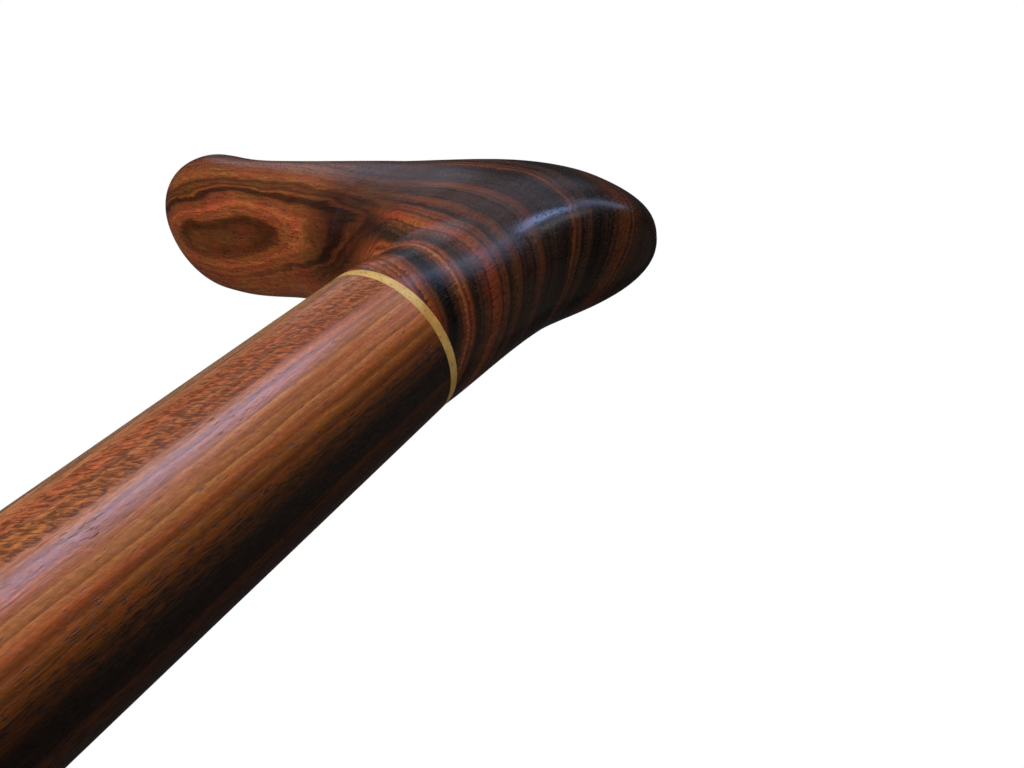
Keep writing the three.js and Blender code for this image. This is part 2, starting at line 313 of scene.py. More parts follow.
# Rosewood cut across and along the grain, sanded fine and oiled: dark growth bands on orange-brown,
# soft gloss. The layer number is a height over gently bowed growth layers: the place, in units, dotted
# with the slope plus the place's own bow. Under the grip the layers close round an eye: their number
# there is the distance from its centre in its own radii.
# Sizes are in millimetres; places and heights are measured as the handle's are.
handleGrain = {
    "unit": 30.0,
    "zeroHeight": 25.0,
    "slope": (0.509, 0.698, 1.0),
    "bow": [(0.101, 0.132, 0.078), (0.132, 0.769, 0.089), (0.078, 0.089, 0.0)],
    "sway": 0.7,
    "bandFray": 0.045,  # how far fibres fray the bands, in units
    "tones": {
        "pale": "#aa592d", "orange": "#97461b", "brown": "#70391a",
        "dusk": "#4c2b17", "dark": "#342012", "black": "#1c120a",
        "glow": "#a9582a", "amber": "#975022", "russet": "#78411a", "umber": "#56290b", "ebony": "#451f09",
    },
    "low": -8.0,
    "high": 60.0,
    "bands": [
        (-8, "brown"), (0.6, "orange"), (1.9, "orange"), (2.6, "brown"), (3.4, "black"), (4.8, "black"),
        (6.5, "brown"), (7.5, "pale"), (8.3, "orange"), (9.7, "dusk"), (10.5, "dark"), (11.5, "dusk"),
        (12.7, "brown"), (14.0, "orange"), (14.8, "orange"), (15.9, "brown"), (17.6, "brown"),
        (18.7, "dark"), (20.7, "brown"), (22.0, "dark"), (25.8, "dusk"), (26.9, "brown"),
        (27.9, "dark"), (31.0, "dark"), (33.6, "black"), (35.7, "brown"), (37.1, "dark"),
        (39.2, "dusk"), (40.5, "black"), (44.5, "dark"), (49, "brown"), (54, "dark"),
    ],
    "flank": (-9.5, -13),  # across, and
    "flankRise": (16, 34),  # up, where the layers turn along the grip
    "flankTurn": 0.4,
    "eye": (-87.5, 0.8, 29.4),  # middle of the outer rings
    "eyeLean": (-0.11, -0.13),
    "eyeRadii": (40.0, 6.36),
    "core": (-60.5, -4.0, 22.5),  # middle of the inner rings
    "coreLean": -0.13,
    "coreRadii": (15.3, 3.9, 3.9),
    "coreGrowth": 0.47,
    "coreBlend": 0.15,
    "lowRing": 0.6,
    "highRing": 4.0,
    "rings": [
        (0.6, "russet"), (0.76, "russet"), (0.84, "umber"), (0.9, "russet"), (0.98, "umber"),
        (1.08, "umber"), (1.2, "amber"), (1.28, "glow"), (1.4, "glow"), (1.48, "amber"),
        (1.54, "russet"), (1.6, "ebony"), (1.68, "umber"), (1.76, "amber"), (1.8, "umber"),
        (1.88, "russet"), (1.95, "umber"), (2.08, "amber"), (2.3, "amber"), (2.5, "russet"),
        (2.62, "amber"), (2.78, "umber"), (2.95, "russet"), (3.15, "umber"), (3.4, "russet"),
        (4, "russet"),
    ],
    "ringFade": (-3, 7),  # across, to the far side, where the rings turn plain
    "ringFaded": 0.75,
    "ringWobble": 0.2,
    "ringFray": 0.09,
    "gripEnd": (-25, -13),  # along, where rings give way to bands
    # The wood turns darker towards the nose and the far side, along this direction over this reach
    "towardsDarker": (0.6, 0.8, 0),
    "darkerReach": (-11, 0),
    "darkerValue": 0.57,
    "forkX": -25.0,  # dark fork where the grip meets the neck
    "forkReach": (4, 16),
    "forkShade": 0.4,
    "palmReach": (2, -16),
    "palmGlow": 1.6,
    "lineScale": 40.0,  # late-wood lines for each unit
    "lineDepth": (0.42, 1.58),
    "ringLines": 0.25,
    "gripLines": 0.35,
    "fibreDepth": (0.55, 1.42),
    "hueDrift": (0.489, 0.511),
    "poreEdge": (0.56, 0.7),
    "poreDepth": 0.8,
    "roughness": (0.19, 0.26),
    "dent": 0.15,
}


def handleWood():
    g = handleGrain
    material, shader, add = newMaterial("rosewood carved sanded and oiled")
    place = add("ShaderNodeTexCoord").outputs["Object"]

    # Layers sway by about half a millimetre every 12 mm; the noise stays within a third of its middle
    wander = add("ShaderNodeTexNoise", {"Vector": place, "Scale": 80.0, "Detail": 2.0}).outputs["Color"]
    wander = add("ShaderNodeVectorMath", {0: wander, 1: (0.5, 0.5, 0.5)}, operation="SUBTRACT").outputs[0]
    sway = (3 * g["sway"] * mm,) * 3
    bent = add("ShaderNodeVectorMath", {0: wander, 1: sway, 2: place}, operation="MULTIPLY_ADD").outputs[0]
    sides = add("ShaderNodeSeparateXYZ", {0: bent}).outputs

    # Fibres run along the grip, and rays cross the layers on the neck: 0.3 mm wide, 1 to 3 mm long
    fibreSpace = add("ShaderNodeMapping", {"Vector": bent, "Scale": (200, 3000, 3000)}).outputs[0]
    fibres = add("ShaderNodeTexNoise", {
        "Vector": fibreSpace, "Scale": 1.0, "Detail": 4.0, "Roughness": 0.65,
    }).outputs["Fac"]
    raySpace = add("ShaderNodeMapping", {"Vector": bent, "Scale": (2800, 2800, 620)}).outputs[0]
    rays = add("ShaderNodeTexNoise", {
        "Vector": raySpace, "Scale": 1.0, "Detail": 3.0, "Roughness": 0.6,
    }).outputs["Fac"]
    start, end = [x * mm for x in g["gripEnd"]]
    neckward = add("ShaderNodeMapRange", {
        "Value": sides["X"], 1: start, 2: end,
    }, interpolation_type="SMOOTHSTEP").outputs[0]
    near, far = [y * mm for y in g["flank"]]
    flank = add("ShaderNodeMapRange", {"Value": sides["Y"], 1: near, 2: far}).outputs[0]
    low, high = [(handle["base"] + z) * mm for z in g["flankRise"]]
    rise = add("ShaderNodeMapRange", {"Value": sides["Z"], 1: low, 2: high}).outputs[0]
    flank = add("ShaderNodeMath", {0: flank, 1: rise}, operation="MULTIPLY").outputs[0]
    crossing = add("ShaderNodeMath", {
        0: neckward, 1: flank,
    }, operation="SUBTRACT", use_clamp=True).outputs[0]
    grain = add("ShaderNodeMix", {0: crossing, 2: fibres, 3: rays}).outputs[0]
    ragged = add("ShaderNodeMath", {0: grain, 1: 0.5}, operation="SUBTRACT").outputs[0]

    # Neck and nose: layer number from the slope and the bow, coloured by its bands
    k = 1 / (g["unit"] * mm)
    centre = (0, 0, -(handle["base"] + g["zeroHeight"]) * mm * k)
    spot = add("ShaderNodeMapping", {"Vector": bent, "Location": centre, "Scale": (k, k, k)}).outputs[0]
    bowed = byMatrix(add, spot, g["bow"])
    slope = add("ShaderNodeVectorMath", {0: bowed, 1: g["slope"]}, operation="ADD").outputs[0]
    layer = add("ShaderNodeVectorMath", {0: spot, 1: slope}, operation="DOT_PRODUCT").outputs["Value"]

    # On the flank under the palm the layers turn to run along the grip
    turn = add("ShaderNodeMath", {0: sides["X"], 1: -g["flankTurn"] * k}, operation="MULTIPLY").outputs[0]
    layer = add("ShaderNodeMath", {0: flank, 1: turn, 2: layer}, operation="MULTIPLY_ADD").outputs[0]
    layer = add("ShaderNodeMath", {
        0: ragged, 1: g["bandFray"], 2: layer,
    }, operation="MULTIPLY_ADD").outputs[0]
    length = g["high"] - g["low"]
    band = add("ShaderNodeMath", {
        0: layer, 1: g["unit"] / length, 2: (g["zeroHeight"] - g["low"]) / length,
    }, operation="MULTIPLY_ADD").outputs[0]
    bands = [(x, g["tones"][tone]) for x, tone in spread(g["bands"], g["low"], g["high"])]
    neckTone = add("ShaderNodeValToRGB", {"Fac": band}, stops=bands).outputs["Color"]

    # Grip: long rings round the eye, closed at the tail by the rings of the core
    eyeSpace = add("ShaderNodeVectorMath", {
        0: bent, 1: [x * mm for x in np.add(g["eye"], (0, 0, handle["base"]))],
    }, operation="SUBTRACT").outputs[0]
    wide, narrow = [r * mm for r in g["eyeRadii"]]
    turnY, turnZ = g["eyeLean"]
    eyeSpace = byMatrix(add, eyeSpace, [
        (1 / wide, 0, 0), (-turnY / narrow, 1 / narrow, 0), (-turnZ / narrow, 0, 1 / narrow),
    ])
    outer = add("ShaderNodeVectorMath", {0: eyeSpace}, operation="LENGTH").outputs["Value"]
    coreSpace = add("ShaderNodeVectorMath", {
        0: bent, 1: [x * mm for x in np.add(g["core"], (0, 0, handle["base"]))],
    }, operation="SUBTRACT").outputs[0]
    long, deep, high = [r * mm for r in g["coreRadii"]]
    coreSpace = byMatrix(add, coreSpace, [
        (1 / long, 0, 0), (-g["coreLean"] / deep, 1 / deep, 0), (0, 0, 1 / high),
    ])
    inner = add("ShaderNodeVectorMath", {0: coreSpace}, operation="LENGTH").outputs["Value"]
    inner = add("ShaderNodeMath", {
        0: inner, 1: g["coreGrowth"], 2: 1 - g["coreGrowth"],
    }, operation="MULTIPLY_ADD").outputs[0]
    number = add("ShaderNodeMath", {
        0: outer, 1: inner, 2: g["coreBlend"],
    }, operation="SMOOTH_MAX").outputs[0]
    swaySpace = add("ShaderNodeMapping", {"Vector": place, "Scale": (60, 200, 200)}).outputs[0]
    wobble = add("ShaderNodeTexNoise", {"Vector": swaySpace, "Scale": 1.0, "Detail": 2.0}).outputs["Fac"]
    wobble = add("ShaderNodeMath", {0: wobble, 1: 0.5}, operation="SUBTRACT").outputs[0]
    for stray, reach in ((wobble, 2 * g["ringWobble"]), (ragged, g["ringFray"])):
        number = add("ShaderNodeMath", {0: stray, 1: reach, 2: number}, operation="MULTIPLY_ADD").outputs[0]
    ringing = add("ShaderNodeMapRange", {"Value": number, 1: g["lowRing"], 2: g["highRing"]}).outputs[0]
    rings = [(x, g["tones"][tone]) for x, tone in spread(g["rings"], g["lowRing"], g["highRing"])]
    gripTone = add("ShaderNodeValToRGB", {"Fac": ringing}, stops=rings).outputs["Color"]
    near, far = [y * mm for y in g["ringFade"]]
    faded = add("ShaderNodeMapRange", {
        "Value": sides["Y"], 1: near, 2: far, 3: 0.0, 4: g["ringFaded"],
    }).outputs[0]
    gripTone = add("ShaderNodeMix", {
        0: faded, 6: gripTone, 7: linear(g["tones"]["glow"]),
    }, data_type="RGBA").outputs[2]
    tone = add("ShaderNodeMix", {0: neckward, 6: gripTone, 7: neckTone}, data_type="RGBA").outputs[2]

    # Brightness: thin late-wood lines 0.4 to 1.2 mm apart, fibres, darker towards the nose and the
    # far side, the fork and the palm
    ringCount = add("ShaderNodeMath", {0: number, 1: g["ringLines"]}, operation="MULTIPLY").outputs[0]
    count = add("ShaderNodeMix", {0: neckward, 2: ringCount, 3: layer}).outputs[0]
    lines = add("ShaderNodeTexNoise", {
        "W": count, "Scale": g["lineScale"], "Detail": 3.0, "Roughness": 0.55,
    }, noise_dimensions="1D").outputs["Fac"]
    darkest, palest = g["lineDepth"]
    lineValue = add("ShaderNodeMapRange", {
        "Value": lines, 1: 0.34, 2: 0.66, 3: darkest, 4: palest,
    }).outputs[0]
    strength = add("ShaderNodeMapRange", {"Value": neckward, 3: g["gripLines"], 4: 1.0}).outputs[0]
    lineValue = add("ShaderNodeMix", {0: strength, 2: 1.0, 3: lineValue}).outputs[0]
    darkest, palest = g["fibreDepth"]
    grainValue = add("ShaderNodeMapRange", {
        "Value": grain, 1: 0.3, 2: 0.7, 3: darkest, 4: palest,
    }).outputs[0]
    # Darker towards the nose and the far side
    towardsDarker = add("ShaderNodeVectorMath", {
        0: bent, 1: g["towardsDarker"],
    }, operation="DOT_PRODUCT").outputs["Value"]
    near, far = [x * mm for x in g["darkerReach"]]
    darker = add("ShaderNodeMapRange", {
        "Value": towardsDarker, 1: near, 2: far, 3: 1.0, 4: g["darkerValue"],
    }).outputs[0]
    fork = add("ShaderNodeMath", {0: sides["X"], 1: g["forkX"] * mm}, operation="SUBTRACT").outputs[0]
    fork = add("ShaderNodeMath", {0: fork}, operation="ABSOLUTE").outputs[0]
    near, far = [x * mm for x in g["forkReach"]]
    fork = add("ShaderNodeMapRange", {
        "Value": fork, 1: near, 2: far, 3: g["forkShade"], 4: 1.0,
    }, interpolation_type="SMOOTHSTEP").outputs[0]
    near, far = [x * mm for x in g["palmReach"]]
    palm = add("ShaderNodeMapRange", {
        "Value": sides["X"], 1: near, 2: far, 3: 1.0, 4: g["palmGlow"],
    }, interpolation_type="SMOOTHSTEP").outputs[0]
    over = add("ShaderNodeMath", {0: rise, 1: neckward}, operation="MULTIPLY").outputs[0]
    palm = add("ShaderNodeMix", {0: over, 2: 1.0, 3: palm}).outputs[0]
    value = lineValue
    for factor in (grainValue, darker, fork, palm):
        value = add("ShaderNodeMath", {0: value, 1: factor}, operation="MULTIPLY").outputs[0]
    tint = add("ShaderNodeTexNoise", {"Vector": bent, "Scale": 160.0, "Detail": 3.0}).outputs["Fac"]
    redder, yellower = g["hueDrift"]
    hue = add("ShaderNodeMapRange", {"Value": tint, 1: 0.3, 2: 0.7, 3: redder, 4: yellower}).outputs[0]
    wood = add("ShaderNodeHueSaturation", {"Hue": hue, "Value": value, "Color": tone}).outputs[0]

    # Pores: dark dashes along the fibres, 0.15 mm wide and up to 1 mm long
    dashSpace = add("ShaderNodeMapping", {"Vector": bent, "Scale": (1300, 5600, 5600)}).outputs[0]
    crossSpace = add("ShaderNodeMapping", {"Vector": bent, "Scale": (5600, 5600, 1500)}).outputs[0]
    poreSpace = add("ShaderNodeMix", {
        0: neckward, 4: dashSpace, 5: crossSpace,
    }, data_type="VECTOR").outputs[1]
    pores = add("ShaderNodeTexNoise", {"Vector": poreSpace, "Scale": 1.0, "Detail": 1.0}).outputs["Fac"]
    start, end = g["poreEdge"]
    pore = add("ShaderNodeMapRange", {
        "Value": pores, 1: start, 2: end, 3: 0.0, 4: g["poreDepth"],
    }).outputs[0]
    colour = add("ShaderNodeMix", {
        0: pore, 6: wood, 7: linear(g["tones"]["black"]),
    }, data_type="RGBA").outputs[2]
    oiled(shader, add, colour, grain, pore, g["roughness"], g["dent"])
    return material


# Linseed oil rubbed into bare wood: its gloss follows the fibres, and open pores stay duller and sunk
oil = {"ior": 1.46, "poreDullness": 0.25, "poreDepth": 1.5, "relief": 0.06}  # relief in millimetres


def oiled(shader, add, colour, fibre, pore, roughness, dent):
    tree = shader.id_data
    smooth, dull = roughness
    rough = add("ShaderNodeMapRange", {"Value": fibre, 1: 0.3, 2: 0.7, 3: smooth, 4: dull}).outputs[0]
    rough = add("ShaderNodeMath", {
        0: pore, 1: oil["poreDullness"], 2: rough,
    }, operation="MULTIPLY_ADD").outputs[0]
    height = add("ShaderNodeMath", {
        0: pore, 1: -oil["poreDepth"], 2: fibre,
    }, operation="MULTIPLY_ADD").outputs[0]
    bump = add("ShaderNodeBump", {
        "Height": height, "Strength": dent, "Distance": oil["relief"] * mm,
    }).outputs[0]
    tree.links.new(colour, shader.inputs["Base Color"])
    tree.links.new(rough, shader.inputs["Roughness"])
    tree.links.new(bump, shader.inputs["Normal"])
    shader.inputs["IOR"].default_value = oil["ior"]


gridPiece("carved_handle", handleGrid(), handleWood(), "handle")

# Shaft: long hand-tapered stick with a chamfered tip and a blind hole for the stud in its top.
# Its radius is a smooth law of the height between the stations.
shaft = {
    "base": 9.7,
    "length": 848,
    "glueLine": 0.1,
    "tipRadius": 9.0,
    "tipChamfer": 1.2,
    "radii": [(30, 9.0), (738, 11.25), (848, 12.5)],
    "rows": 130,
    "boreRadius": 4.15,
    "boreDepth": 43,
    "borePoint": 2.49,
    "around": 144,
}


def shaftGrid():
    s = shaft
    heights = np.linspace(s["radii"][0][0], s["length"], s["rows"])
    long = np.stack([smoothLaw(s["radii"])(heights), heights], -1).tolist()
    top = s["length"] + s["glueLine"]
    floor = s["length"] - s["boreDepth"]
    profile = [(0, 0), (s["tipRadius"] - s["tipChamfer"], 0), (s["tipRadius"], s["tipChamfer"]), *long]
    profile += [(s["radii"][-1][1], top), (s["boreRadius"], top)]
    profile += [(s["boreRadius"], floor), (0, floor - s["borePoint"])]
    grid = turned(profile, s["around"])
    grid[..., 2] += s["base"]
    return grid


# Rosewood with its grain along the stick, scraped and oiled: straight streaks, dark dashes of pores,
# soft gloss. Streaks are layers across the stick, numbered in millimetres along the direction "facing".
# Where the stick cuts the rays, short dark ripples cross the grain between two angles round the axis.
# Sizes are in millimetres and angles in degrees.
shaftGrain = {
    "facing": 55.0,
    "low": -13.0,
    "high": 13.0,
    "wander": 1.2,
    "fray": 2.0,  # how far fibres fray the streaks
    "tones": {
        "tan": "#b37c50", "pale": "#bb6d3b", "orange": "#ac5c2c", "brown": "#884519",
        "umber": "#703809", "dusk": "#4c2404", "dark": "#2d1606", "black": "#1a0e06",
    },
    # The tan at the low end lies on the stick's upper-left rim as the camera sees it: partly a paler streak
    # of the wood, partly a painted sheen.
    "streaks": [
        (-13, "tan"), (-11.4, "tan"), (-10.2, "pale"), (-9.4, "orange"), (-8.7, "pale"), (-7.7, "orange"),
        (-7.2, "orange"), (-6.5, "pale"), (-5.4, "pale"), (-5.1, "brown"), (-4.8, "pale"), (-4.1, "orange"),
        (-3.2, "pale"), (-2.6, "orange"), (-2.2, "pale"), (-0.8, "pale"), (0.1, "orange"), (0.9, "brown"),
        (1.4, "orange"), (2.0, "brown"), (2.5, "umber"), (2.9, "brown"), (3.5, "umber"), (4.6, "dusk"),
        (5.4, "dusk"), (6.0, "dark"), (6.6, "black"), (8.2, "black"), (9.2, "dusk"), (10.2, "dusk"),
        (10.9, "dark"), (12.5, "umber"),
    ],
    "fibreDepth": (0.7, 1.28),
    "fineDepth": (0.8, 1.2),
    "lineDepth": (0.66, 1.3),
    "hueDrift": (0.493, 0.51),
    "rippleAngles": (-98, -69),
    "rippleEdge": 6,
    "rippleSlant": 40,
    "rippleLength": 1.5,
    "rippleWidth": 0.38,
    "rippleTone": "#502812",
    "rippleDepth": 0.74,
    "ripplesElsewhere": 0.2,
    "ripplesDenser": 0.06,
    "poreZone": (1.0, 4.6),  # streaks between which pores grow more
    "poreLevels": (0.64, 0.5),
    "poreTone": "#1a0e07",
    "poreDepth": 0.8,
    "roughness": (0.17, 0.25),
    "dent": 0.5,
}


def shaftWood():
    g = shaftGrain
    material, shader, add = newMaterial("rosewood turned scraped and oiled")
    place = add("ShaderNodeTexCoord").outputs["Object"]

    # Fibres wander by half a millimetre every 15 mm
    wanderSpace = add("ShaderNodeMapping", {"Vector": place, "Scale": (70, 70, 60)}).outputs[0]
    wander = add("ShaderNodeTexNoise", {
        "Vector": wanderSpace, "Scale": 1.0, "Detail": 2.0,
    }).outputs["Color"]
    wander = add("ShaderNodeVectorMath", {0: wander, 1: (0.5, 0.5, 0.5)}, operation="SUBTRACT").outputs[0]
    reach = (g["wander"] * mm, g["wander"] * mm, 0)
    bent = add("ShaderNodeVectorMath", {0: wander, 1: reach, 2: place}, operation="MULTIPLY_ADD").outputs[0]
    turn = math.radians(g["facing"])
    across = (math.cos(turn) / mm, math.sin(turn) / mm, 0)
    layer = add("ShaderNodeVectorMath", {0: bent, 1: across}, operation="DOT_PRODUCT").outputs["Value"]
    fibreSpace = add("ShaderNodeMapping", {"Vector": bent, "Scale": (1800, 1800, 45)}).outputs[0]
    fibres = add("ShaderNodeTexNoise", {
        "Vector": fibreSpace, "Scale": 1.0, "Detail": 5.0, "Roughness": 0.7,
    }).outputs["Fac"]
    fineSpace = add("ShaderNodeMapping", {"Vector": bent, "Scale": (5000, 5000, 1100)}).outputs[0]
    fine = add("ShaderNodeTexNoise", {
        "Vector": fineSpace, "Scale": 1.0, "Detail": 3.0, "Roughness": 0.6,
    }).outputs["Fac"]
    frayed = add("ShaderNodeMath", {0: fibres, 1: g["fray"], 2: layer}, operation="MULTIPLY_ADD").outputs[0]
    length = g["high"] - g["low"]
    frayMiddle = g["fray"] / 2
    shift = (-g["low"] - frayMiddle) / length
    band = add("ShaderNodeMath", {0: frayed, 1: 1 / length, 2: shift}, operation="MULTIPLY_ADD").outputs[0]
    streaks = [(x, g["tones"][tone]) for x, tone in spread(g["streaks"], g["low"], g["high"])]
    tone = add("ShaderNodeValToRGB", {"Fac": band}, stops=streaks).outputs["Color"]

    # Brightness: fibres, their fine hairs, and growth lines about 0.7 mm apart
    lines = add("ShaderNodeTexNoise", {
        "W": frayed, "Scale": 1.5, "Detail": 3.0, "Roughness": 0.6,
    }, noise_dimensions="1D").outputs["Fac"]
    values = [
        add("ShaderNodeMapRange", {"Value": noise, 1: low, 2: 1 - low, 3: depth[0], 4: depth[1]}).outputs[0]
        for noise, low, depth in (
            (fibres, 0.32, g["fibreDepth"]), (fine, 0.3, g["fineDepth"]), (lines, 0.32, g["lineDepth"]),
        )
    ]
    value = add("ShaderNodeMath", {0: values[0], 1: values[1]}, operation="MULTIPLY").outputs[0]
    value = add("ShaderNodeMath", {0: value, 1: values[2]}, operation="MULTIPLY").outputs[0]
    tint = add("ShaderNodeTexNoise", {"Vector": fibreSpace, "Scale": 0.35, "Detail": 2.0}).outputs["Fac"]
    redder, yellower = g["hueDrift"]
    hue = add("ShaderNodeMapRange", {"Value": tint, 1: 0.3, 2: 0.7, 3: redder, 4: yellower}).outputs[0]
    wood = add("ShaderNodeHueSaturation", {"Hue": hue, "Value": value, "Color": tone}).outputs[0]

    # Ripples: dark strokes that slant across the grain, thickest at their lower edge
    sides = add("ShaderNodeSeparateXYZ", {0: bent}).outputs
    angle = add("ShaderNodeMath", {0: sides["Y"], 1: sides["X"]}, operation="ARCTAN2").outputs[0]
    collarRadius = shaft["radii"][-1][1]
    arc = add("ShaderNodeMath", {0: angle, 1: collarRadius * mm}, operation="MULTIPLY").outputs[0]
    unrolled = add("ShaderNodeCombineXYZ", {"X": arc, "Y": sides["Z"]}).outputs[0]
    strokeSpace = add("ShaderNodeMapping", {
        "Vector": unrolled,
        "Rotation": (0, 0, math.radians(g["rippleSlant"])),
        "Scale": (g["rippleLength"] * mm, g["rippleWidth"] * mm, 1),
    }, vector_type="TEXTURE").outputs[0]
    strokes = add("ShaderNodeTexNoise", {
        "Vector": strokeSpace, "Scale": 1.0, "Detail": 2.0, "Distortion": 1.2,
    }).outputs["Fac"]
    first, last = [math.radians(a) for a in g["rippleAngles"]]
    edge = math.radians(g["rippleEdge"])
    rising = add("ShaderNodeMapRange", {"Value": angle, 1: first - edge, 2: first + edge}).outputs[0]
    falling = add("ShaderNodeMapRange", {
        "Value": angle, 1: last, 2: last + edge / 3, 3: 1.0, 4: 0.0,
    }).outputs[0]
    zone = add("ShaderNodeMath", {0: rising, 1: falling}, operation="MULTIPLY").outputs[0]
    zone = add("ShaderNodeMapRange", {"Value": zone, 3: g["ripplesElsewhere"], 4: 1.0}).outputs[0]
    denser = add("ShaderNodeMapRange", {
        "Value": angle, 1: first, 2: last, 3: 0.0, 4: g["ripplesDenser"],
    }).outputs[0]
    strokes = add("ShaderNodeMath", {0: strokes, 1: denser}, operation="ADD").outputs[0]
    stroke = add("ShaderNodeMapRange", {
        "Value": strokes, 1: 0.47, 2: 0.62, 3: 0.0, 4: g["rippleDepth"],
    }).outputs[0]
    ripple = add("ShaderNodeMath", {0: zone, 1: stroke}, operation="MULTIPLY").outputs[0]
    rippled = add("ShaderNodeMix", {
        0: ripple, 6: wood, 7: linear(g["rippleTone"]),
    }, data_type="RGBA").outputs[2]

    # Pores: dark dashes along the stick, 0.15 mm wide and 0.5 to 3 mm long, more in the brown streaks
    poreSpace = add("ShaderNodeMapping", {"Vector": bent, "Scale": (6200, 6200, 800)}).outputs[0]
    pores = add("ShaderNodeTexNoise", {"Vector": poreSpace, "Scale": 1.0, "Detail": 2.0}).outputs["Fac"]
    start, end = [x + frayMiddle for x in g["poreZone"]]
    rare, rich = g["poreLevels"]
    level = add("ShaderNodeMapRange", {"Value": frayed, 1: start, 2: end, 3: rare, 4: rich}).outputs[0]
    over = add("ShaderNodeMath", {0: pores, 1: level}, operation="SUBTRACT").outputs[0]
    pore = add("ShaderNodeMapRange", {
        "Value": over, 1: 0.0, 2: 0.09, 3: 0.0, 4: g["poreDepth"],
    }).outputs[0]
    colour = add("ShaderNodeMix", {
        0: pore, 6: rippled, 7: linear(g["poreTone"]),
    }, data_type="RGBA").outputs[2]
    oiled(shader, add, colour, fine, pore, g["roughness"], g["dent"])
    return material


gridPiece("tapered_shaft", shaftGrid(), shaftWood(), "shaft")

# Pale ring between shaft and handle, flush with both
ring = {
    "base": 857.8,
    "thickness": 1.6,
    "boreRadius": 4.15,
    "radius": 12.5,
    "around": 176,
    "tones": [(0.3, "#c08538"), (0.5, "#d9a750"), (0.7, "#e8c06a")],
    "fleckTone": "#8a5a22",
    "fleckEdge": (0.6, 0.72),
    "fleckDepth": 0.75,
    "roughness": (0.34, 0.42),
    "dent": 0.25,
}


# Boxwood, cut across the grain and oiled: even warm yellow with a few brown flecks, satin
def ringWood():
    r = ring
    material, shader, add = newMaterial("boxwood sliced sanded and oiled")
    place = add("ShaderNodeTexCoord").outputs["Object"]
    cloud = add("ShaderNodeTexNoise", {"Vector": place, "Scale": 260.0, "Detail": 3.0}).outputs["Fac"]
    tone = add("ShaderNodeValToRGB", {"Fac": cloud}, stops=r["tones"]).outputs["Color"]
    grain = add("ShaderNodeTexNoise", {"Vector": place, "Scale": 2600.0, "Detail": 1.0}).outputs["Fac"]
    start, end = r["fleckEdge"]
    fleck = add("ShaderNodeMapRange", {
        "Value": grain, 1: start, 2: end, 3: 0.0, 4: r["fleckDepth"],
    }).outputs[0]
    colour = add("ShaderNodeMix", {
        0: fleck, 6: tone, 7: linear(r["fleckTone"]),
    }, data_type="RGBA").outputs[2]
    oiled(shader, add, colour, grain, fleck, r["roughness"], r["dent"])
    return material


# A plain rectangle in profile, turned
def ringGrid():
    r = ring
    inner, outer, top = r["boreRadius"], r["radius"], r["thickness"]
    grid = turned([(inner, 0), (outer, 0), (outer, top), (inner, top)], r["around"])
    grid[..., 2] += r["base"]
    return grid


gridPiece("boxwood_ring", ringGrid(), ringWood(), "spacer_ring", ringShaped=True)

# Ferrule, in profile from the tread's middle outwards and up: grooves, rounded foot, a skirt that narrows
# with the square of what is left of its height, beads that stand proud by a power of the sine of the way
# up each, rounded lip and socket.
ferrule = {
    "tread": 8.0,
    "height": 39.7,
    "socketRadius": 9.2,
    "sleeveRadius": 12.2,
    "footRadius": 18.0,
    "footRounding": 2.5,
    "skirtHeight": 17.0,
    "beads": 3,
    "beadHeight": 2.0,
    "beadPitch": 5.5,
    "beadProud": 0.8,
    "beadPower": 0.8,
    "lipRounding": 1.2,
    "mouthEase": 0.3,
    "padRadius": 6.0,
    "grooves": 3,
    "grooveWidth": 1.8,
    "grooveDepth": 1.4,
    "grooveEase": 0.25,
    "ribWidth": 1.8,
    "around": 160,
    "tones": [(0.3, "#171717"), (0.7, "#222221")],
    "wornTone": "#6a645c",
    "wornHeight": 2.2,
    "wornShare": 0.75,
    "roughness": (0.55, 0.75),
    "relief": 0.1,
    "ior": 1.52,
}


def ferruleGrid():
    f = ferrule
    ease, depth = f["grooveEase"], f["grooveDepth"]
    profile = [(0, 0)]
    for i in range(f["grooves"]):
        inner = f["padRadius"] + i * (f["grooveWidth"] + f["ribWidth"])
        outer = inner + f["grooveWidth"]
        profile += corner((inner - ease, ease), ease, -90, 0, 5)
        profile += [(inner, depth - ease), (inner + ease, depth)]
        profile += [(outer - ease, depth), (outer, depth - ease)]
        profile += corner((outer + ease, ease), ease, 180, 270, 5)
    foot = f["footRounding"]
    profile += corner((f["footRadius"] - foot, foot), foot, -90, 0, 14)
    s = np.linspace(0, 1, 28)[1:]
    skirt = f["sleeveRadius"] + (f["footRadius"] - f["sleeveRadius"]) * (1 - s) ** 2
    profile += np.stack([skirt, foot + (f["skirtHeight"] - foot) * s], -1).tolist()
    t = np.linspace(0, 1, 13)
    for i in range(f["beads"]):
        low = f["skirtHeight"] + f["beadHeight"] + i * f["beadPitch"]
        bead = f["sleeveRadius"] + f["beadProud"] * np.sin(np.pi * t) ** f["beadPower"]
        profile += np.stack([bead, low + f["beadHeight"] * t], -1).tolist()
    lip = f["lipRounding"]
    profile += corner((f["sleeveRadius"] - lip, f["height"] - lip), lip, 0, 90, 10)
    socket, mouth = f["socketRadius"], f["mouthEase"]
    profile += [(socket + mouth, f["height"]), (socket, f["height"] - mouth)]
    profile += [(socket, f["tread"]), (0, f["tread"])]
    return turned(profile, f["around"])


